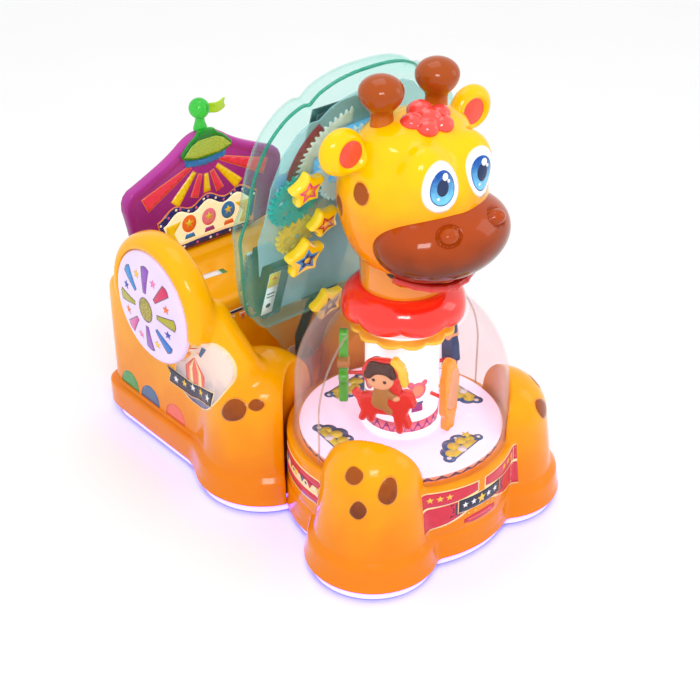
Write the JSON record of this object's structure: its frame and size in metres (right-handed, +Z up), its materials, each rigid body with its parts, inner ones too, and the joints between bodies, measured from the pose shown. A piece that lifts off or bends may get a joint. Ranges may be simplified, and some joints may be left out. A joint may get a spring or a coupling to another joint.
{
  "type": "kiddie ride machine",
  "caption": "Coin-operated kiddie ride: animal head over a clear carousel dome, see-through gear console, one seat with tent backrest, rocking body on a lit base.",
  "frame": {"origin": "floor level at the middle of the overall length and width", "axes": "+Z up, front of the ride towards -Y, rider's left towards +X"},
  "size_m": [0.8, 1.245, 1.25],
  "materials": {
    "orange_shell": "glossy moulded",
    "yellow_shell": "glossy moulded",
    "brown_plastic": "glossy moulded",
    "red_plastic": "glossy moulded",
    "coral_plastic": "glossy moulded",
    "eye_white": "glossy with printed iris",
    "clear_dome": "clear polycarbonate",
    "clear_teal": "clear tinted polycarbonate",
    "clear_pink": "translucent",
    "lit_white": "lit translucent acrylic",
    "lit_lilac": "lit translucent acrylic",
    "white_plastic": "glossy moulded",
    "teal_plastic": "glossy moulded",
    "gold_plastic": "glossy moulded",
    "blue_plastic": "glossy moulded",
    "mixed_figures": "printed layered acrylic",
    "dark_green_plastic": "glossy moulded",
    "magenta_plastic": "glossy moulded",
    "printed_panel": "printed acrylic",
    "clear_green": "translucent green",
    "black_plastic": "fine grained",
    "dark_screen": "glossy screen",
    "frame_steel": "black powder coat",
    "bright_steel": "zinc plated",
    "motor_grey": "enamel",
    "foot_rubber": "moulded",
    "pan_board": "sealed plywood"
  },
  "bodies": {
    "base": {"base_frame": "frame_steel", "base_pan": "pan_board", "light_skirt": "lit_lilac", "levelling_feet": "foot_rubber", "pivot_bearings": "motor_grey", "drive_motor": "motor_grey", "power_supply": "bright_steel"},
    "crank": {"crank": "bright_steel"},
    "rod": {"connecting_rod": "frame_steel"},
    "ride": {"ride_frame": "frame_steel", "pivot_shaft": "bright_steel", "rod_bracket": "frame_steel", "front_platform": "orange_shell", "side_pod_left": "orange_shell", "side_pod_right": "orange_shell", "wheel_lens_left": "lit_lilac", "wheel_lens_right": "lit_lilac", "cabin_tub": "orange_shell", "power_panel": "black_plastic", "backrest_frame": "magenta_plastic", "backrest_panel": "printed_panel", "backrest_cap": "clear_green", "finial": "clear_green", "dome": "clear_dome", "floor_disc": "lit_white", "centre_post": "bright_steel", "carousel_motor": "motor_grey", "collar": "red_plastic", "neck": "orange_shell", "head_shell": "yellow_shell", "muzzle": "brown_plastic", "ears": "yellow_shell", "horns": "brown_plastic", "tuft": "coral_plastic", "eyes": "eye_white", "case_front": "clear_teal", "case_rear": "clear_teal", "gear_plate": "white_plastic", "console_mast": "frame_steel", "column_cover": "clear_pink", "case_funnel": "clear_teal", "coin_box": "dark_green_plastic", "coin_plate": "bright_steel", "screen": "dark_screen", "speaker_grille": "black_plastic", "wheel_bearing": "black_plastic", "star_bosses": "yellow_shell"},
    "carousel": {"carousel_drum": "lit_white", "carousel_figures": "mixed_figures"},
    "gear_large": {"gear_large": "white_plastic"},
    "gear_teal": {"gear_teal": "teal_plastic"},
    "gear_yellow": {"gear_yellow": "gold_plastic"},
    "gear_blue": {"gear_blue": "blue_plastic"},
    "steering": {"steering_wheel": "red_plastic"},
    "button_music": {"button_music": "blue_plastic"},
    "button_start": {"button_start": "red_plastic"},
    "coin_return": {"coin_return_button": "red_plastic"},
    "cash_door": {"cash_door": "frame_steel"},
    "door_lock": {"door_lock": "bright_steel"},
    "power_switch": {"power_switch": "red_plastic"}
  },
  "joints": [
    {"name": "body_rock", "type": "hinge", "parent": "base", "child": "ride", "pos_m": [0, 0, 0.083], "axis": [1, 0, 0], "range_deg": [-1.7, 1.7]},
    {"name": "crank_spin", "type": "hinge", "parent": "base", "child": "crank", "pos_m": [0, 0.3425, 0.112], "axis": [1, 0, 0], "continuous": true},
    {"name": "rod_swing", "type": "hinge", "parent": "crank", "child": "rod", "pos_m": [0.038, 0.3425, 0.122], "axis": [1, 0, 0], "continuous": true},
    {"name": "carousel_spin", "type": "hinge", "parent": "ride", "child": "carousel", "pos_m": [0, -0.3075, 0.4], "axis": [0, 0, 1], "continuous": true},
    {"name": "gear_large_spin", "type": "hinge", "parent": "ride", "child": "gear_large", "pos_m": [-0.03, -0.14785, 0.96041], "axis": [0, 0.9496, 0.3133], "continuous": true},
    {"name": "gear_teal_spin", "type": "hinge", "parent": "ride", "child": "gear_teal", "pos_m": [-0.19914, -0.12856, 0.90195], "axis": [0, 0.9496, 0.3133], "continuous": true},
    {"name": "gear_yellow_spin", "type": "hinge", "parent": "ride", "child": "gear_yellow", "pos_m": [-0.16866, -0.09025, 0.78585], "axis": [0, 0.9496, 0.3133], "continuous": true},
    {"name": "gear_blue_spin", "type": "hinge", "parent": "ride", "child": "gear_blue", "pos_m": [0.14119, -0.13042, 0.90759], "axis": [0, 0.9496, 0.3133], "continuous": true},
    {"name": "steering_turn", "type": "hinge", "parent": "ride", "child": "steering", "pos_m": [0, 0.04217, 0.84409], "axis": [0, 0.9496, 0.3133], "continuous": true},
    {"name": "button_music_press", "type": "slide", "parent": "ride", "child": "button_music", "axis": [0, -0.9496, -0.3133], "range_m": [0, 0.004], "stiffness_N_per_m": 400},
    {"name": "button_start_press", "type": "slide", "parent": "ride", "child": "button_start", "axis": [0, -0.9496, -0.3133], "range_m": [0, 0.004], "stiffness_N_per_m": 400},
    {"name": "coin_return_press", "type": "slide", "parent": "ride", "child": "coin_return", "axis": [0, -0.9496, -0.3133], "range_m": [0, 0.004], "stiffness_N_per_m": 300},
    {"name": "cash_door_hinge", "type": "hinge", "parent": "ride", "child": "cash_door", "pos_m": [-0.156, 0.6065, 0.27], "axis": [0, 0, 1], "range_deg": [0, 110]},
    {"name": "door_lock_turn", "type": "hinge", "parent": "cash_door", "child": "door_lock", "pos_m": [-0.046, 0.6045, 0.27], "axis": [0, 1, 0], "range_deg": [-90, 0]},
    {"name": "power_switch_rock", "type": "hinge", "parent": "ride", "child": "power_switch", "pos_m": [0.128, 0.6015, 0.2], "axis": [1, 0, 0], "range_deg": [-8, 8]}
  ],
  "couplings": [
    {"joint": "rod_swing", "follows": "crank_spin", "ratio": -1},
    {"joint": "gear_teal_spin", "follows": "gear_large_spin", "ratio": -1.5},
    {"joint": "gear_blue_spin", "follows": "gear_large_spin", "ratio": -1.5},
    {"joint": "gear_yellow_spin", "follows": "gear_large_spin", "ratio": 2}
  ]
}
